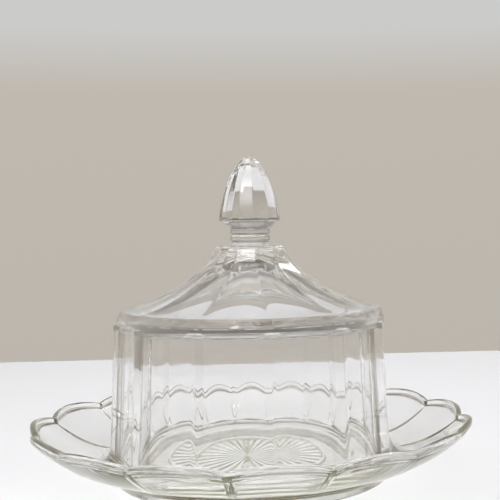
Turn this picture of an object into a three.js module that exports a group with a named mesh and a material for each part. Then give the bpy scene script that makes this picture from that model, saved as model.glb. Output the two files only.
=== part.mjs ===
// Butter dish in clear pressed glass: a plate with a scalloped rim, and a twelve-sided domed lid
// that lifts straight off. Millimetres, +Z up. The origin is the middle of the underside of the
// plate's foot ring, and the front of the dish faces -Y.
import * as THREE from "three";

// Plate. Heights are above the surface that the dish stands on.
const SCALLOPS = 15;
const PLATE_RADIUS = 100; // to the middle of a scallop
const RIM_HEIGHT = 27.8; // to the top of the rim, in the middle of a scallop
const RIM_BEVEL = 1; // the rounding of the rim's top edge
const RIM_BAND = 2.4; // height of the rim's upright outer face
const NOTCH_IN = 2.7; // how far the rim steps in where two scallops meet
const NOTCH_DOWN = 2.5; // how far it dips there
const NOTCH_SPREAD = 2; // how fast a notch fades towards the middle of its scallop
const NOTCH_ONSET = 1.5; // how late the scallops begin on the way up the petals
const RIDGE = 0.8; // height of the rib that runs up the inside from the well to each notch
const RIDGE_EDGE = 0.99; // share of a notch's depth beyond which the rib stands
const FLOOR_HEIGHT = 11.3; // top of the well's floor
const FLOOR_RADIUS = 65; // of the flat part of the floor
const WELL_RADIUS = 68; // where the floor turns up into the petals
const PETAL_SWEEP = 1.8; // how late the petals turn up, 1 for a straight cone
const PETAL_STEPS_TOP = [0.12, 0.4, 0.7, 0.93]; // shares of the way from the well to the rim
const PETAL_STEPS_UNDER = [0.93, 0.7, 0.45, 0.2, 0.03];
const PETAL_WALL = 3.1; // measured straight down
const FOOT_RADIUS = 61;
const FOOT_WIDTH = 4.5;
const FOOT_TOP = { flare: 3.4, height: 7 }; // where the foot ring leaves the underside
const FOOT_EDGE = { flare: 0.9, height: 0.9 }; // the rounding of its outer edge
const FOOT_SLOPE = 1.5; // how far the hollow's wall leans in
const FOOT_RECESS = 4.6; // depth of the hollow inside the foot ring
const STAR_RADIUS = 33; // star pressed into the underside of the floor
const STAR_RAYS = 30;
const STAR_DEPTH = 0.9;
const STAR_BORDER = 2; // plain ring round the star's points
const STAR_HEART = { share: 0.25, depth: 0.7 }; // near the middle the rays are shallower
const PLATE_TURN = -6; // degrees, from the front to the nearest notch

// Lid. Heights are above its own rim.
const PANELS = 12;
const SEAT_GAP = 0.3; // between the lid's rim and the well's floor
const LID_HEIGHT = 135;
const KNOB_TIP = { radius: 6.5, height: 133.4 }; // the knob's outline leans towards these two points
const KNOB_BELLY = { radius: 12.4, height: 120.4 };
const KNOB_FOOT = { radius: 14.1, height: 105.2 }; // the knob's widest, lower edge
const KNOB_UNDERCUT = { radius: 11.8, height: 104.5 };
const NECK_TOP = { radius: 9, height: 101.8 };
const NECK_FOOT = { radius: 9, height: 96.2 };
const WAIST = { radius: 7.8, height: 94.8 };
const COLLAR_EDGE = { radius: 15.2, height: 94 };
const COLLAR_TOP = { radius: 16.2, height: 93.2 };
const COLLAR_FOOT = { radius: 18.7, height: 86.8 };
const ROOF_HOLLOW = { radius: 34.8, height: 71.2 }; // the roof's hollow curve leans towards it
const EAVES = { radius: 58.7, height: 65.6 }; // where the roof meets the rounded shoulder
const SHOULDER_TOP = { radius: 60.4, height: 63 };
const SHOULDER_FOOT = { radius: 61, height: 58.7 };
const WALL_TOP = { radius: 61.9, height: 57.8 }; // at the corners between panels
const WALL_FOOT = { radius: 64.5, height: 3.2 };
const FLANGE_TOP = { radius: 65.4, height: 1.6 };
const FLANGE_FOOT = { radius: 64.7, height: 0 };
const FLANGE_FACET = 0.6; // the flange is rounder than the panels above it
const LID_WALL = 4.2;
const HOLLOW_WALL_TOP = { radius: 57.7, height: 55.3 }; // the inside, from the wall's upper end
const HOLLOW_CORNER = { radius: 57.3, height: 60.4 };
const HOLLOW_EAVES = { radius: 52.7, height: 61.8 };
const HOLLOW_SWEEP = { radius: 30, height: 68.2 };
const HOLLOW_CROWN = { radius: 12, height: 86.5 };
const LID_TURN = 7.8; // degrees, from the front to the nearest corner between panels

const PLATE_SEGMENTS = SCALLOPS * 8;
const LID_SEGMENTS = PANELS * 4;
const CURVE_STEPS = 5;
const CORNER_STEPS = 2;

// One ring of an outline: its widest radius and height, and how it changes on the way round.
// facet is 0 for a circle and 1 for straight sides between the lid's corners.
// scallop is the share of the rim's notch, ridge of the rib and star of the star's depth.
function ring(radius, height, shape = {}) {
  return { radius, height, facet: 0, scallop: 0, ridge: 0, star: 0, ...shape };
}

// The same from a named place on the outline.
function ringAt(place, shape) {
  return ring(place.radius, place.height, shape);
}

// Its place on the outline's plane: radius across, height up.
function flatPoint(place) {
  return new THREE.Vector2(place.radius, place.height);
}

// Rings along a curve, without its first point.
function ringsAlong(curve, steps, shape) {
  const points = curve.getPoints(steps).slice(1);
  return points.map((point) => ring(point.x, point.y, shape));
}

// Place inside a repeat of the pattern: 0 where two repeats meet, 1 in the middle of one.
function towardsMiddle(turn, repeats) {
  const place = ((turn * repeats) / (2 * Math.PI)) % 1;
  return 1 - Math.abs(2 * place - 1);
}

function facetedRadius(turn, station) {
  const half = Math.PI / PANELS;
  const offCentre = half * (1 - towardsMiddle(turn, PANELS));
  const straight = Math.cos(half) / Math.cos(offCentre);
  return station.radius * (1 + station.facet * (straight - 1));
}

// 1 at a notch and 0 in the middle of a scallop, so that each scallop is a bulging arc.
function notch(turn) {
  return (1 - towardsMiddle(turn, SCALLOPS)) ** NOTCH_SPREAD;
}

function placeOnRing(turn, station) {
  const atNotch = notch(turn);
  const radius = facetedRadius(turn, station) - station.scallop * NOTCH_IN * atNotch;
  const ray = 1 - towardsMiddle(turn, STAR_RAYS);
  const height =
    station.height -
    station.scallop * NOTCH_DOWN * atNotch +
    station.ridge * (atNotch > RIDGE_EDGE ? RIDGE : 0) +
    station.star * STAR_DEPTH * ray;
  return new THREE.Vector3(radius * Math.sin(turn), -radius * Math.cos(turn), height);
}

// Turns the rings about +Z from the front, and lets each one take its own shape.
function turned(stations, segments) {
  const outline = stations.map((station) => new THREE.Vector2(station.radius, station.height));
  const geometry = new THREE.LatheGeometry(outline, segments);
  const position = geometry.attributes.position;
  for (let index = 0; index < position.count; index += 1) {
    const step = Math.floor(index / stations.length) % segments;
    const turn = (2 * Math.PI * step) / segments;
    const point = placeOnRing(turn, stations[index % stations.length]);
    position.setXYZ(index, point.x, point.y, point.z);
  }
  geometry.computeVertexNormals();
  return geometry;
}

// The petals rise from the well in a soft curve. share runs from 0 at the well to 1 at the rim.
function petalPoint(share) {
  const radius = WELL_RADIUS + (PLATE_RADIUS - WELL_RADIUS) * share;
  const height = FLOOR_HEIGHT + (RIM_HEIGHT - FLOOR_HEIGHT) * share ** PETAL_SWEEP;
  return { radius, height };
}

function petalRings(shares, drop, ridge) {
  return shares.map((share) => {
    const point = petalPoint(share);
    return ring(point.radius, point.height - drop, { scallop: share ** NOTCH_ONSET, ridge });
  });
}

function plateTop() {
  return [
    ring(0, FLOOR_HEIGHT),
    ring(FLOOR_RADIUS, FLOOR_HEIGHT),
    ...petalRings(PETAL_STEPS_TOP, 0, 1),
  ];
}

function plateRim() {
  const rim = { scallop: 1 };
  return [
    ring(PLATE_RADIUS - RIM_BEVEL, RIM_HEIGHT, rim),
    ring(PLATE_RADIUS, RIM_HEIGHT - RIM_BEVEL, rim),
    ring(PLATE_RADIUS, RIM_HEIGHT - RIM_BAND, rim),
  ];
}

function plateUnderside() {
  const footInside = FOOT_RADIUS - FOOT_WIDTH;
  return [
    ...petalRings(PETAL_STEPS_UNDER, PETAL_WALL, 0),
    ring(FOOT_RADIUS + FOOT_TOP.flare, FOOT_TOP.height),
    ring(FOOT_RADIUS + FOOT_EDGE.flare, FOOT_EDGE.height),
    ring(FOOT_RADIUS, 0),
    ring(footInside, 0),
    ring(footInside - FOOT_SLOPE, FOOT_RECESS),
    ring(STAR_RADIUS + STAR_BORDER, FOOT_RECESS),
    ring(STAR_RADIUS, FOOT_RECESS, { star: 1 }),
    ring(STAR_RADIUS * STAR_HEART.share, FOOT_RECESS, { star: STAR_HEART.depth }),
    ring(0, FOOT_RECESS),
  ];
}

function plateGeometry() {
  const outline = [...plateTop(), ...plateRim(), ...plateUnderside()];
  return turned(outline.reverse(), PLATE_SEGMENTS);
}

// The acorn-shaped knob, from its blunt tip down to the waist below its neck ring.
function knobRings() {
  const side = new THREE.CubicBezierCurve(
    new THREE.Vector2(0, LID_HEIGHT),
    flatPoint(KNOB_TIP),
    flatPoint(KNOB_BELLY),
    flatPoint(KNOB_FOOT),
  );
  return [
    ring(0, LID_HEIGHT),
    ...ringsAlong(side, CURVE_STEPS, { facet: 1 }),
    ringAt(KNOB_UNDERCUT, { facet: 1 }),
    ringAt(NECK_TOP),
    ringAt(NECK_FOOT),
    ringAt(WAIST),
  ];
}

// The collar and the roof below it, which sweeps out in a hollow curve to the eaves.
function roofRings() {
  const sweep = new THREE.QuadraticBezierCurve(
    flatPoint(COLLAR_FOOT),
    flatPoint(ROOF_HOLLOW),
    flatPoint(EAVES),
  );
  return [
    ringAt(COLLAR_EDGE, { facet: 1 }),
    ringAt(COLLAR_TOP, { facet: 1 }),
    ringAt(COLLAR_FOOT, { facet: 1 }),
    ...ringsAlong(sweep, CURVE_STEPS, { facet: 1 }),
  ];
}

function wallRings() {
  return [
    ringAt(SHOULDER_TOP),
    ringAt(SHOULDER_FOOT),
    ringAt(WALL_TOP, { facet: 1 }),
    ringAt(WALL_FOOT, { facet: 1 }),
    ringAt(FLANGE_TOP, { facet: FLANGE_FACET }),
    ringAt(FLANGE_FOOT, { facet: FLANGE_FACET }),
  ];
}

// The inside is smooth and round, so that the lid draws off its plunger.
function hollowRings() {
  const shoulder = new THREE.QuadraticBezierCurve(
    flatPoint(HOLLOW_WALL_TOP),
    flatPoint(HOLLOW_CORNER),
    flatPoint(HOLLOW_EAVES),
  );
  const ceiling = new THREE.CubicBezierCurve(
    flatPoint(HOLLOW_EAVES),
    flatPoint(HOLLOW_SWEEP),
    flatPoint(HOLLOW_CROWN),
    new THREE.Vector2(0, HOLLOW_CROWN.height),
  );
  return [
    ring(WALL_FOOT.radius - LID_WALL, 0),
    ringAt(HOLLOW_WALL_TOP),
    ...ringsAlong(shoulder, CORNER_STEPS),
    ...ringsAlong(ceiling, CURVE_STEPS),
  ];
}

function lidGeometry() {
  const outline = [...knobRings(), ...roofRings(), ...wallRings(), ...hollowRings()];
  return turned(outline.reverse(), LID_SEGMENTS);
}

function glass() {
  return new THREE.MeshStandardMaterial({
    color: 0xe9ede6,
    roughness: 0.04,
    metalness: 0,
    transparent: true,
    opacity: 0.35,
  });
}

function namedMesh(name, geometry) {
  const mesh = new THREE.Mesh(geometry, glass());
  mesh.name = name;
  return mesh;
}

const plate = namedMesh("plate", plateGeometry());
plate.rotation.z = THREE.MathUtils.degToRad(PLATE_TURN);

const lid = namedMesh("lid", lidGeometry());
lid.position.z = FLOOR_HEIGHT + SEAT_GAP;
lid.rotation.z = THREE.MathUtils.degToRad(LID_TURN);

const butterDish = new THREE.Group();
butterDish.add(plate, lid);

export default butterDish;
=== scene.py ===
"""Butter dish in clear pressed glass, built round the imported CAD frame.

A scalloped plate with a star pressed into its underside, and a twelve-sided domed lid that lifts off.
Outlines are in millimetres, as the moulds were cut, and become metres when a mesh is made.
"""

import math

import bpy
import numpy as np
from mathutils import Matrix, Vector, noise


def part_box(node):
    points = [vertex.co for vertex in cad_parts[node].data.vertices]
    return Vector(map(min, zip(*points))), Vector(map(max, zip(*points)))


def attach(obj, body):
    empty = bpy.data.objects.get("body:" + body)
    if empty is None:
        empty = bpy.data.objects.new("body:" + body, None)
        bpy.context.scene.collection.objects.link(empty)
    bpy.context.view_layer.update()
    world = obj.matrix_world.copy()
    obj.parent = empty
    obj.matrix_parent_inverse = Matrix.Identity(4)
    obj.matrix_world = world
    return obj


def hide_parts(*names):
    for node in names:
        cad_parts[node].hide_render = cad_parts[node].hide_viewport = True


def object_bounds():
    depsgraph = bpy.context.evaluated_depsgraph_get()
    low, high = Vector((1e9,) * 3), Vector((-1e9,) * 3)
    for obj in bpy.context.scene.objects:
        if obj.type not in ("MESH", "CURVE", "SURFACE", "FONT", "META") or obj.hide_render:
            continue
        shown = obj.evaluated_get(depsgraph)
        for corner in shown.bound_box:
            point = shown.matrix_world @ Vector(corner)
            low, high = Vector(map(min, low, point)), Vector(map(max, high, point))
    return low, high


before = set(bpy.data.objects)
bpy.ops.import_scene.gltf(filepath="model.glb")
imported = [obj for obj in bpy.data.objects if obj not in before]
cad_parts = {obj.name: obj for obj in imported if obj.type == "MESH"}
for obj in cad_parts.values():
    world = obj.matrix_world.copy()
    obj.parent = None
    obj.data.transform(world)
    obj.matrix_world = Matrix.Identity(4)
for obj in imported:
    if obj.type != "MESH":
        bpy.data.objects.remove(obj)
cad_low, cad_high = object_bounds()

MM = 0.001

plate_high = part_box("plate")[1]
lid_low, lid_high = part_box("lid")

# Plate, heights above the surface that it stands on.
SCALLOPS = 15
PLATE_RADIUS = 100.0  # to the middle of a scallop
RIM_HEIGHT = plate_high.z / MM
NOTCH_IN = 2.7  # how far the rim steps in where two scallops meet
NOTCH_DOWN = 2.5  # how far it dips there
NOTCH_SPREAD = 2  # how fast a notch fades towards the middle of its scallop
NOTCH_ONSET = 1.5  # how late the scallops begin on the way up the petals
NOTCH_ROUNDING = 0.04  # of the notch's point, as a share of half a scallop
PLATE_TURN = math.radians(-6)  # from the front to the nearest notch
FLOOR_HEIGHT = 11.3
FLOOR_RINGS = (0, 15, 30, 45, 58, 66)  # radii
WELL_RADIUS = 68.0  # where the floor turns up into the petals
PETAL_SWEEP = 1.8  # how late the petals turn up, 1 for a straight cone
PETAL_WALL = 3.1  # measured straight down
PETAL_END = 0.9  # where the petals meet the bead, as a share of the way from the well to the rim
PETAL_RINGS = 24
UNDER_END = 0.06  # where the petals' underside meets the foot ring, as such a share
UNDER_RINGS = 18
RIB_SIDE = (0.3825, 1.0625)  # degrees from a rib's middle, where its rounded side begins and ends
RIB_HEIGHT = 0.75
RIB_FULLNESS = 0.6  # below 1 a rib swells sooner at its ends

# The bead along the rim, from the inside over the top to the outside. Each corner is how far it lies
# in from the plate's radius, how far below the rim's top, and its rounding.
BEAD_LEAD = 0.855  # share of a ring of the petals that only gives the bead's inner corner its slope
BEAD_ROUNDING = 0.3  # of that inner corner
BEAD = [(2.8, 0.6, 0.5), (1.4, 0, 0.6), (0.1, 0.5, 0.45), (0, 2.5, 0.4), (0.5, 3.2, 0.3)]
BEAD_FOOT = 0.96  # share at which it runs into the petals' underside

STAR_RADIUS = 33.0
STAR_RAYS = 30
STAR_DEPTH = 0.45
STAR_HEART = 0.25  # share of its radius at which the grooves have reached their depth
STAR_TIPS = 0.93  # share at which they begin to run out
STAR_RINGS = (0.97, 0.9, 0.8, 0.68, 0.56, 0.44, 0.32, 0.22, 0.13, 0.06)  # shares
STAR_DIMPLE = 0.1  # in its very middle
STAR_BORDER = 0.25  # height of the fine raised ring round its tips

# The foot ring and the hollow inside it. Each corner is a radius, a height and a rounding.
FOOT_RADIUS = 61.0
FOOT_INSIDE = 56.5  # the ring's inner radius
FOOT_RECESS = 4.6
FOOT = [
    (FOOT_RADIUS + 3.4, 7.0, 1.8),  # where it leaves the petals' underside
    (FOOT_RADIUS + 0.9, 0.9, 0.5),
    (FOOT_RADIUS - 0.5, 0, 0.4),  # the flat that the plate stands on
    (FOOT_INSIDE + 0.6, 0, 0.4),
    (FOOT_INSIDE - 0.6, 1.2, 0.6),
    (FOOT_INSIDE - 1.8, FOOT_RECESS, 1.0),  # the edge of the hollow's ceiling
    (STAR_RADIUS + 3.4, FOOT_RECESS, 0.5),
    (STAR_RADIUS + 2.4, FOOT_RECESS - STAR_BORDER, 0.4),
    (STAR_RADIUS + 1.2, FOOT_RECESS - STAR_BORDER, 0.4),
]

# Lid, heights above its own rim. Each place on its outline is a radius and a height.
PANELS = 12
LID_SEAT = lid_low.z / MM
LID_HEIGHT = (lid_high.z - lid_low.z) / MM
LID_TURN = math.radians(7.8)  # from the front to the nearest corner between panels
CORNER_SHARPNESS = 220  # higher is sharper
KNOB_TIP = (6.5, LID_HEIGHT - 1.6)  # the knob's outline leans towards these two points
KNOB_BELLY = (12.4, 120.4)
KNOB_FOOT = (14.1, 105.2)  # its widest, lower edge
KNOB_RINGS = 20
COLLAR_FOOT = (18.7, 86.8)
ROOF_HOLLOW = (34.8, 71.2)  # the point that the roof's hollow curve leans towards
ROOF_FACET = 0.6  # how flat the panels are there
ROOF_SAG = 0.55  # how much lower the roof is between two ribs
ROOF_RINGS = 22
EAVES = (58.7, 65.6)
EAVES_ROUNDING = 0.9
SHOULDER_RADIUS = 61.0
WALL_TOP = (61.9, 57.8)  # at the corners between panels
CORNER_RISE = 1.9  # how much further up the wall's corners reach than its flats
CORNER_BLEND = 0.45  # they rise where the wall's radius is this close to the shoulder's
LIP_HEIGHT = 0.5  # of the small step at the wall's upper end
LIP_ROUNDING = 0.2

# Corners of the lid's outside. Each is a radius, a height, a facet and a rounding.
NECK = [
    (*KNOB_FOOT, 1, 0.35),
    (12.1, 104.6, 1, 0.3),
    (9.9, 102.4, 0.3, 0.8),
    (8.8, 101.6, 0, 0.4),  # groove above the neck band
    (9.1, 100.9, 0, 0.3),  # upper half of the band
    (9.1, 99.6, 0, 0.35),
    (8.3, 98.9, 0, 0.3),  # groove round its middle
    (9.1, 98.2, 0, 0.35),  # lower half
    (9.1, 96.8, 0, 0.4),
    (7.8, 95.0, 0, 0.7),  # waist
    (9.0, 94.0, 0, 0.5),
    (14.9, 94.1, 1, 0.5),  # collar
    (16.2, 93.2, 1, 0.45),
    (*COLLAR_FOOT, 1, 0.7),
]
SHOULDER = [(60.4, 63.0, 0, 1.0), (SHOULDER_RADIUS, 61.2, 0, 0.5)]
WALL = [
    (63.2, 30.5, 1, 0),  # half way down
    (64.5, 3.2, 1, 1.2),
    (65.4, 1.6, 0.6, 0.6),  # the flange is rounder than the panels above it
    (64.7, 0, 0.6, 0.6),
    (60.7, 0, 0, 0.5),  # the inner edge of the rim that the lid rests on
    (60.3, 3.0, 0, 0),
]

# The inside, from the rim up to the pole.
HOLLOW_FOOT = (60.3, 2.0)
HOLLOW_WALL_TOP = (57.7, 55.3)
HOLLOW_CORNER = (57.3, 60.4)
HOLLOW_EAVES = (52.7, 61.8)
HOLLOW_SWEEP = (30, 68.2)
HOLLOW_CROWN = (12, 86.5)
HOLLOW_RINGS = (4, 8, 18)  # on its wall, its shoulder and its ceiling

# Degrees from the middle of a notch or of a corner between panels to the middle of its repeat.
PLATE_STEPS = [0, 0.3, 0.55, 0.75, 0.9, 1.05, 1.25, 1.5, 1.9, 2.5, 3.3, 4.3, 5.3, 6, 6.7, 7.7, 8.7, 9.7]
PLATE_STEPS += [10.5, 11.2, 11.7, 12]
LID_STEPS = [0, 0.3, 0.65, 1.05, 1.5, 2.1, 2.9, 3.9, 5.2, 7, 9, 11, 13, 15]
ARC_STEPS = 4
ARC_GUARD = 1.35  # where the row outside an arc lies, as a multiple of the arc's own reach

# How fire polishing softens the mould's shape.
UNEVENNESS = 0.03
UNEVEN_SIZE = 14.0
PLATE_NOISE = Vector((3.1, 8.37, -3.1))  # each piece has its own place in the noise
LID_NOISE = Vector((8.3, 22.41, -8.3))
NOISE_SEED = 1
noise.seed_set(NOISE_SEED)  # without a seed of its own, this noise changes from run to run


def smooth_step(low, high, value):
    """0 up to low and 1 from high on, with a smooth way between."""
    share = np.clip((value - low) / (high - low), 0, 1)
    return share * share * (3 - 2 * share)


def turns_round(repeats, offsets):
    """Turn angles all the way round, with the same offsets (degrees, from 0 up to the middle) on both
    sides of each place where two repeats of the pattern meet."""
    width = 360 / repeats
    half = np.array(offsets)
    one = np.concatenate([half, (width - half[1:-1])[::-1]])
    starts = np.arange(repeats)[:, None] * width
    return np.radians((starts + one[None, :]).ravel())


def from_meeting(turns, repeats):
    """Share of the way from the nearest place where two repeats meet to the middle of a repeat."""
    width = 2 * math.pi / repeats
    place = np.mod(turns, width)
    return np.minimum(place, width - place) / (width / 2)


def station(radius, height, turns):
    """One row of a mesh: its radius and height at each turn, either of which may be one number."""
    both = np.empty((len(turns), 2))
    both[:, 0] = radius
    both[:, 1] = height
    return both


def towards(start, end, distance):
    line = end - start
    return start + line / np.linalg.norm(line, axis=1)[:, None] * distance


def curve(points, steps, first=True):
    """Stations along a Bezier curve with three or four control stations."""
    degree = len(points) - 1
    shares = np.linspace(0, 1, steps + 1)[0 if first else 1 :]
    return [
        sum(
            math.comb(degree, k) * share**k * (1 - share) ** (degree - k) * point
            for k, point in enumerate(points)
        )
        for share in shares
    ]


def rounded(corners):
    """Straight lines between corner stations, given as (station, rounding), with every corner rounded.
    A row just outside each small arc keeps the long faces beside it flat in the shading."""
    outline = []
    for index, (corner, rounding) in enumerate(corners):
        if rounding == 0 or index in (0, len(corners) - 1):
            outline.append(corner)
            continue
        before = corners[index - 1][0]
        after = corners[index + 1][0]
        arc = [towards(corner, before, rounding), corner, towards(corner, after, rounding)]
        outline.append(towards(corner, before, ARC_GUARD * rounding))
        outline.extend(curve(arc, ARC_STEPS))
        outline.append(towards(corner, after, ARC_GUARD * rounding))
    return outline


def uneven(rows, turns, noise_place):
    """Moves the stations by a smooth noise, the way that fire polishing softens a moulded surface."""
    moved = []
    for row in rows:
        places = np.stack([row[:, 0] * np.sin(turns), -row[:, 0] * np.cos(turns), row[:, 1]], 1)
        shifts = [noise.noise_vector(Vector(place) / UNEVEN_SIZE + noise_place) for place in places]
        moved.append(row + np.array(shifts)[:, :2] * UNEVENNESS)
    return moved


def skin(name, rows, turns, turn_offset, base_height):
    """A closed mesh from rows of stations, from the pole on top, down the outside and back to the
    lower pole. The first and the last row lie on the axis and become one vertex each."""
    angles = turns + turn_offset
    ring_rows = rows[1:-1]
    count = len(turns)
    vertices = [(0, 0, rows[0][0, 1] + base_height)]
    for row in ring_rows:
        x = row[:, 0] * np.sin(angles)
        y = -row[:, 0] * np.cos(angles)
        vertices.extend(zip(x, y, row[:, 1] + base_height))
    vertices.append((0, 0, rows[-1][0, 1] + base_height))
    upper_pole = 0
    lower_pole = len(vertices) - 1
    last_ring = lower_pole - count
    faces = []
    for step in range(count):
        following = (step + 1) % count
        faces.append((upper_pole, 1 + step, 1 + following))
        faces.append((lower_pole, last_ring + following, last_ring + step))
        for row in range(len(ring_rows) - 1):
            upper = 1 + row * count
            lower = upper + count
            faces.append((upper + step, lower + step, lower + following, upper + following))
    mesh = bpy.data.meshes.new(name)
    mesh.from_pydata((np.array(vertices) * MM).tolist(), [], faces)
    mesh.validate()
    mesh.shade_smooth()
    piece = bpy.data.objects.new(name, mesh)
    bpy.context.scene.collection.objects.link(piece)
    return piece


# Camera, at the photograph's viewing angle: eye level a little below the knob's tip, and the picture
# cropped from a wider one, which is what its shift stands for.

EYE = Vector((0, -0.4738, 0.1177))
LOOK_RIGHT = math.radians(4.33)
LOOK_DOWN = math.radians(1.79)
TILT = math.radians(-0.8)
SENSOR_WIDTH = 36
FOCAL_LENGTH = 74.3
CROP_SHIFT = -0.1568


def add_camera():
    data = bpy.data.cameras.new("camera")
    data.sensor_width = SENSOR_WIDTH
    data.lens = FOCAL_LENGTH
    data.shift_x = CROP_SHIFT
    camera = bpy.data.objects.new("camera", data)
    turned = Matrix.Rotation(-LOOK_RIGHT, 4, "Z")
    raised = Matrix.Rotation(math.radians(90) - LOOK_DOWN, 4, "X")
    camera.matrix_world = Matrix.Translation(EYE) @ turned @ raised @ Matrix.Rotation(TILT, 4, "Z")
    bpy.context.scene.collection.objects.link(camera)
    bpy.context.scene.camera = camera


# Plate


class PlateShape:
    """Rows of stations for the plate's top, its rim and its underside."""

    def __init__(self):
        self.turns = turns_round(SCALLOPS, PLATE_STEPS)
        off_notch = from_meeting(self.turns, SCALLOPS)
        softened = np.sqrt(off_notch**2 + NOTCH_ROUNDING**2) - NOTCH_ROUNDING
        self.notch = (1 - softened) ** NOTCH_SPREAD
        half_scallop = 180 / SCALLOPS
        self.rib = 1 - smooth_step(*RIB_SIDE, off_notch * half_scallop)
        self.ray = 1 - from_meeting(self.turns, STAR_RAYS)

    def at(self, radius, height, scallop=0.0):
        """A station with that share of the scalloped rim's notches."""
        row = station(radius, height, self.turns)
        row[:, 0] -= scallop * NOTCH_IN * self.notch
        row[:, 1] -= scallop * NOTCH_DOWN * self.notch
        return row

    def petal(self, share, drop=0.0, rib=0.0):
        """A station on the petals: share runs from 0 at the well to 1 at the rim."""
        radius = WELL_RADIUS + (PLATE_RADIUS - WELL_RADIUS) * share
        height = FLOOR_HEIGHT + (RIM_HEIGHT - FLOOR_HEIGHT) * share**PETAL_SWEEP - drop
        row = self.at(radius, height, share**NOTCH_ONSET)
        row[:, 1] += rib * RIB_HEIGHT * self.rib
        return row

    def top(self):
        """The well's floor, and the petals with a spindle-shaped rib up to each notch."""
        rows = [self.at(radius, FLOOR_HEIGHT) for radius in FLOOR_RINGS]
        for share in np.linspace(0, PETAL_END, PETAL_RINGS):
            swell = math.sin(math.pi * share / PETAL_END) ** RIB_FULLNESS
            rows.append(self.petal(share, rib=swell))
        return rows

    def rim(self):
        """A rounded bead all the way round, which stands a little proud of the petals' top."""
        corners = [(self.petal(BEAD_LEAD), 0), (self.petal(PETAL_END), BEAD_ROUNDING)]
        for inwards, below, rounding in BEAD:
            corners.append((self.at(PLATE_RADIUS - inwards, RIM_HEIGHT - below, 1), rounding))
        corners.append((self.petal(BEAD_FOOT, PETAL_WALL), 0))
        return rounded(corners)[1:]

    def underside(self):
        """The petals' underside, the foot ring, and the hollow inside it with its star."""
        shares = np.linspace(PETAL_END, UNDER_END, UNDER_RINGS)
        petals = [self.petal(share, PETAL_WALL) for share in shares]
        foot = [(self.at(radius, height), rounding) for radius, height, rounding in FOOT]
        foot = rounded([(petals[-1], 0), *foot, (self.star(1.0), 0)])[1:]
        star = [self.star(share) for share in STAR_RINGS]
        return petals + foot + star + [self.at(0, FOOT_RECESS + STAR_DIMPLE)]

    def star(self, share):
        """A ring of the star at that share of its radius. The grooves deepen outwards to points."""
        deep = smooth_step(0, STAR_HEART, share) * (1 - smooth_step(STAR_TIPS, 1.0, share))
        height = FOOT_RECESS + STAR_DEPTH * self.ray * deep
        return station(STAR_RADIUS * share, height, self.turns)


def add_plate():
    shape = PlateShape()
    rows = uneven(shape.top() + shape.rim(), shape.turns, PLATE_NOISE) + shape.underside()
    rows[0][:, 0] = 0
    piece = skin("glass_plate", rows, shape.turns, PLATE_TURN, 0)
    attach(piece, "plate")
    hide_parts("plate")
    piece.visible_shadow = False
    return piece


# Lid


class LidShape:
    """Rows of stations for the lid, from its tip down the outside and up the inside.

    flat is how far a twelve-sided ring of radius 1 reaches at each turn. hollow is 0 at its corners
    and 1 in the middle of a panel."""

    def __init__(self):
        self.turns = turns_round(PANELS, LID_STEPS)
        middles = (np.arange(PANELS) + 0.5) * 2 * math.pi / PANELS
        facing = np.maximum(np.cos(self.turns[:, None] - middles), 0)
        reach = (facing**CORNER_SHARPNESS).sum(1) ** (1 / CORNER_SHARPNESS)
        corner_reach = (2 ** (1 / CORNER_SHARPNESS)) * math.cos(math.pi / PANELS)
        self.flat = corner_reach / reach
        self.hollow = (1 - self.flat) / (1 - self.flat.min())

    def at(self, radius, height, facet=0.0):
        """A station that is round where facet is 0, and has twelve flat sides where it is 1."""
        return station(radius * (1 + facet * (self.flat - 1)), height, self.turns)

    def corners(self, outline):
        return [(self.at(radius, height, facet), rounding) for radius, height, facet, rounding in outline]

    def knob(self):
        """The knob, and below it the neck and the collar down to the roof."""
        controls = [self.at(0, LID_HEIGHT)]
        controls += [self.at(*place, 1) for place in (KNOB_TIP, KNOB_BELLY, KNOB_FOOT)]
        side = curve(controls, KNOB_RINGS)
        neck = rounded([(side[-2], 0), *self.corners(NECK), (self.roof()[1], 0)])
        return side[:-1] + neck[1:-1]

    def roof(self):
        middle = self.at(*ROOF_HOLLOW, ROOF_FACET)
        middle[:, 1] -= 2 * ROOF_SAG * self.hollow  # the curve goes half way to its middle control
        return curve([self.at(*COLLAR_FOOT, 1), middle, self.at(*EAVES)], ROOF_RINGS)

    def wall(self):
        """The shoulder, the wall whose corners step up into it, and the flange at its foot."""
        flat_radius = WALL_TOP[0] * self.flat
        past_shoulder = flat_radius - SHOULDER_RADIUS
        lip = WALL_TOP[1] + CORNER_RISE * smooth_step(-CORNER_BLEND, CORNER_BLEND, past_shoulder)
        roof = self.roof()
        return rounded(
            [
                (roof[-2], 0),
                (roof[-1], EAVES_ROUNDING),
                *self.corners(SHOULDER),
                (station(SHOULDER_RADIUS, lip + LIP_HEIGHT, self.turns), LIP_ROUNDING),
                (station(flat_radius, lip, self.turns), LIP_ROUNDING),
                *self.corners(WALL),
            ]
        )[1:-1]

    def inside(self):
        """Smooth and round, so that the lid draws off the plunger that presses it."""
        wall_rings, shoulder_rings, ceiling_rings = HOLLOW_RINGS
        foot = self.at(*HOLLOW_FOOT)
        wall_top = self.at(*HOLLOW_WALL_TOP)
        eaves = self.at(*HOLLOW_EAVES)
        pole = self.at(0, HOLLOW_CROWN[1])
        wall = curve([foot, (foot + wall_top) / 2, wall_top], wall_rings)
        shoulder = curve([wall_top, self.at(*HOLLOW_CORNER), eaves], shoulder_rings, first=False)
        sweep = [eaves, self.at(*HOLLOW_SWEEP), self.at(*HOLLOW_CROWN), pole]
        return wall + shoulder + curve(sweep, ceiling_rings, first=False)


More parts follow.
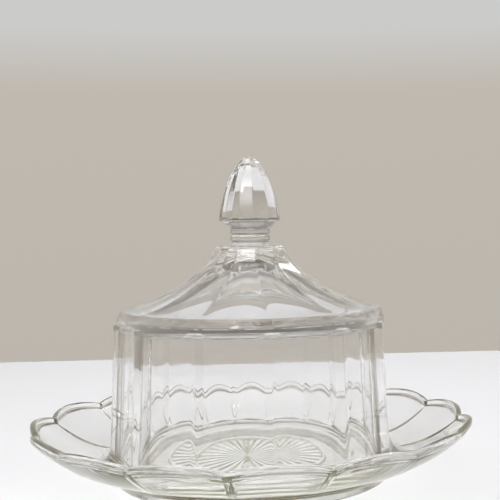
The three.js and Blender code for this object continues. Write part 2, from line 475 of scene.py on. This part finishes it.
def add_lid():
    shape = LidShape()
    outside = uneven(shape.knob() + shape.roof()[1:-1] + shape.wall(), shape.turns, LID_NOISE)
    rows = outside + shape.inside()
    rows[0][:, 0] = 0
    piece = skin("glass_lid", rows, shape.turns, LID_TURN, LID_SEAT)
    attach(piece, "lid")
    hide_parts("lid")
    piece.visible_shadow = False
    return piece


# Shader nodes


def add_node(tree, kind, **values):
    """A new node with those values on its inputs, whose names have _ in place of spaces."""
    node = tree.nodes.new(kind)
    for socket, value in values.items():
        node.inputs[socket.replace("_", " ")].default_value = value
    return node


def add_noise(tree, place, scale, detail):
    node = add_node(tree, "ShaderNodeTexNoise", Scale=scale, Detail=detail)
    tree.links.new(place, node.inputs["Vector"])
    return node.outputs["Fac"]


def add_distance(tree, place, origin):
    """How far a place is from the origin given."""
    node = tree.nodes.new("ShaderNodeVectorMath")
    node.operation = "DISTANCE"
    node.inputs[1].default_value = origin
    tree.links.new(place, node.inputs[0])
    return node.outputs["Value"]


def add_range(tree, value, low, high, top=1.0, interpolation="SMOOTHSTEP"):
    """Takes a value from 0 at low to top at high, and holds it outside them."""
    node = add_node(tree, "ShaderNodeMapRange", From_Min=low, From_Max=high, To_Min=0.0, To_Max=top)
    node.interpolation_type = interpolation
    tree.links.new(value, node.inputs["Value"])
    return node.outputs["Result"]


def add_mix(tree, share, first):
    """A mix of colours, whose second one the caller sets or links."""
    node = tree.nodes.new("ShaderNodeMix")
    node.data_type = "RGBA"
    node.inputs["A"].default_value = (*first, 1)
    tree.links.new(share, node.inputs["Factor"])
    return node


def add_ramp(tree, value, stops):
    """A colour ramp with its stops given in order, each as a position and a colour."""
    node = tree.nodes.new("ShaderNodeValToRGB")
    elements = node.color_ramp.elements
    elements.remove(elements[1])
    elements[0].position = stops[0][0]
    elements[0].color = (*stops[0][1], 1)
    for position, colour in stops[1:]:
        elements.new(position).color = (*colour, 1)
    tree.links.new(value, node.inputs["Fac"])
    return node.outputs["Color"]


# Materials. Sizes of patterns are repeats per metre.

GLASS_INDEX = 1.52
FILM_SCALE = 45
FILM_DETAIL = 4
FILM_START = 0.35  # noise values between which the film sets in
FILM_FULL = 0.75
RIPPLE_SCALE = 110
RIPPLE_DETAIL = 1
RIPPLE_STRENGTH = 0.05
RIPPLE_HEIGHT = 0.0004
TABLE_ROUGHNESS = 0.9
TABLE_COLOUR = (0.86, 0.87, 0.90)
# painted shade: the table's colour darkens to this under and just behind the dish, in place of the
# glass's own shadow
SHADE_COLOUR = (0.79, 0.795, 0.81)
SHADE_MIDDLE = (0.004, 0.008, 0)
SHADE_FULL = 0.07  # distances from its middle
SHADE_END = 0.13


def glass(name, tint, density, film_roughness):
    """Clear glass with a tint that builds up in its thickness, a patchy film and a weak ripple."""
    material = bpy.data.materials.new(name)
    material.use_nodes = True
    tree = material.node_tree
    shader = tree.nodes["Principled BSDF"]
    shader.inputs["Base Color"].default_value = (1, 1, 1, 1)
    shader.inputs["Transmission Weight"].default_value = 1
    shader.inputs["IOR"].default_value = GLASS_INDEX
    place = tree.nodes.new("ShaderNodeTexCoord").outputs["Object"]

    film = add_noise(tree, place, FILM_SCALE, FILM_DETAIL)
    roughness = add_range(tree, film, FILM_START, FILM_FULL, film_roughness, "LINEAR")
    tree.links.new(roughness, shader.inputs["Roughness"])

    ripple = add_noise(tree, place, RIPPLE_SCALE, RIPPLE_DETAIL)
    bump = add_node(tree, "ShaderNodeBump", Strength=RIPPLE_STRENGTH, Distance=RIPPLE_HEIGHT)
    tree.links.new(ripple, bump.inputs["Height"])
    tree.links.new(bump.outputs["Normal"], shader.inputs["Normal"])

    absorption = add_node(tree, "ShaderNodeVolumeAbsorption", Color=(*tint, 1), Density=density)
    tree.links.new(absorption.outputs["Volume"], tree.nodes["Material Output"].inputs["Volume"])
    return material


def table_white():
    """Plain white, with a painted soft shade under and just behind the dish that stands in for the shadow
    clear glass throws.
    """
    material = bpy.data.materials.new("table_white")
    material.use_nodes = True
    tree = material.node_tree
    shader = tree.nodes["Principled BSDF"]
    shader.inputs["Roughness"].default_value = TABLE_ROUGHNESS
    place = tree.nodes.new("ShaderNodeTexCoord").outputs["Object"]
    # painted shade: darker nearer the dish's middle, fading out between SHADE_FULL and SHADE_END
    from_dish = add_distance(tree, place, SHADE_MIDDLE)
    mix = add_mix(tree, add_range(tree, from_dish, SHADE_FULL, SHADE_END), SHADE_COLOUR)
    mix.inputs["B"].default_value = (*TABLE_COLOUR, 1)
    tree.links.new(mix.outputs["Result"], shader.inputs["Base Color"])
    return material


# Stage: a pale tabletop with a painted shade under the dish, a soft room all round, and soft boxes.

TABLE_BACK = 0.41  # from the dish's axis to the far edge of the table
TABLE_FRONT = 0.95
TABLE_SIDE = 0.7
TABLE_THICKNESS = 0.02
TABLE_GAP = 0.0002  # keeps the tabletop out of the foot ring's flat face

# The wall behind the dish, from straight down at 0 to straight up at 1.
BACK_WALL = [
    (0.28, (0.20, 0.18, 0.16)),
    (0.40, (0.50, 0.465, 0.42)),
    (0.56, (0.525, 0.485, 0.43)),
    (0.59, (0.60, 0.60, 0.59)),
    (0.63, (0.60, 0.60, 0.59)),
    (0.70, (0.30, 0.28, 0.255)),
    (1.0, (0.20, 0.19, 0.175)),
]
ROOM_COLOUR = (0.17, 0.152, 0.137)  # at the sides and in front
BACK_START = 0.1  # how far backward a direction points where the back wall fades in
BACK_FULL = 0.65

# Across a soft box, as shares of its size: it is dark at its edge and full inside its core.
SOFTBOX_MIDDLE = (0.5, 0.5, 0)
SOFTBOX_EDGE = 0.5
SOFTBOX_CORE = 0.12


def add_table():
    corners = [
        (-TABLE_SIDE, -TABLE_FRONT),
        (TABLE_SIDE, -TABLE_FRONT),
        (TABLE_SIDE, TABLE_BACK),
        (-TABLE_SIDE, TABLE_BACK),
    ]
    vertices = [(x, y, z) for z in (-TABLE_THICKNESS, -TABLE_GAP) for x, y in corners]
    faces = [(0, 3, 2, 1), (4, 5, 6, 7)]
    faces += [(i, (i + 1) % 4, 4 + (i + 1) % 4, 4 + i) for i in range(4)]
    mesh = bpy.data.meshes.new("table")
    mesh.from_pydata(vertices, [], faces)
    table = bpy.data.objects.new("table", mesh)
    table.data.materials.append(table_white())
    bpy.context.scene.collection.objects.link(table)


def add_room():
    """A plain room: a warm grey wall behind the dish with a pale strip above eye level, and dimmer
    sides and front."""
    world = bpy.data.worlds.new("room")
    world.use_nodes = True
    bpy.context.scene.world = world
    tree = world.node_tree
    direction = tree.nodes.new("ShaderNodeTexCoord").outputs["Generated"]
    split = tree.nodes.new("ShaderNodeSeparateXYZ")
    tree.links.new(direction, split.inputs["Vector"])
    upward = add_range(tree, split.outputs["Z"], -1, 1, interpolation="LINEAR")
    backward = add_range(tree, split.outputs["Y"], BACK_START, BACK_FULL)
    mix = add_mix(tree, backward, ROOM_COLOUR)
    tree.links.new(add_ramp(tree, upward, BACK_WALL), mix.inputs["B"])
    tree.links.new(mix.outputs["Result"], tree.nodes["Background"].inputs["Color"])


def add_softbox(name, azimuth, elevation, distance, size, power):
    """A soft box that faces the dish. Azimuth 0 is in front and 90 on the right. The glass shows it
    in its reflections, but not through itself."""
    data = bpy.data.lights.new(name, "AREA")
    data.shape = "RECTANGLE"
    data.size, data.size_y = size
    data.energy = power
    light = bpy.data.objects.new(name, data)
    a = math.radians(azimuth)
    e = math.radians(elevation)
    direction = Vector((math.sin(a) * math.cos(e), -math.cos(a) * math.cos(e), math.sin(e)))
    middle = (cad_low + cad_high) / 2
    light.location = middle + direction * distance
    light.rotation_euler = direction.to_track_quat("Z", "Y").to_euler()
    light.visible_transmission = False
    bpy.context.scene.collection.objects.link(light)
    return light


def soften(light):
    """Makes a soft box bright in its middle and dim towards its edges."""
    light.data.use_nodes = True
    tree = light.data.node_tree
    place = tree.nodes.new("ShaderNodeNewGeometry").outputs["Parametric"]
    from_middle = add_distance(tree, place, SOFTBOX_MIDDLE)
    falloff = add_range(tree, from_middle, SOFTBOX_EDGE, SOFTBOX_CORE)
    tree.links.new(falloff, tree.nodes["Emission"].inputs["Strength"])


def add_lights():
    """Two tall soft boxes, and an overhead light in two parts: the overhead one is what the table
    gets, and the ceiling is what the glass reflects of it."""
    window = add_softbox("window", azimuth=-15.5, elevation=38, distance=1.3, size=(0.2, 0.85), power=3.5)
    side = add_softbox("side", azimuth=141, elevation=42, distance=1.4, size=(0.12, 0.8), power=4)
    ceiling = add_softbox("ceiling", azimuth=0, elevation=82, distance=1.4, size=(2.1, 2.1), power=28)
    ceiling.visible_diffuse = False
    for light in (window, side, ceiling):
        soften(light)
    overhead = add_softbox("overhead", azimuth=0, elevation=82, distance=1.4, size=(1.2, 1.2), power=21)
    overhead.visible_glossy = False
    overhead.data.cycles.use_multiple_importance_sampling = False


LIGHT_BOUNCES = 64  # through the star's grooves and the ribs, which fewer would leave dark

add_camera()
plate = add_plate()
lid = add_lid()
plate.data.materials.append(
    glass("plate_glass_look", tint=(0.77, 0.765, 0.63), density=24, film_roughness=0.03)
)
lid.data.materials.append(
    glass("lid_glass_look", tint=(0.85, 0.83, 0.79), density=18, film_roughness=0.08)
)
add_table()
add_room()
add_lights()
scene = bpy.context.scene
scene.view_settings.view_transform = "Standard"
scene.cycles.max_bounces = LIGHT_BOUNCES
scene.cycles.transmission_bounces = LIGHT_BOUNCES
scene.cycles.glossy_bounces = LIGHT_BOUNCES
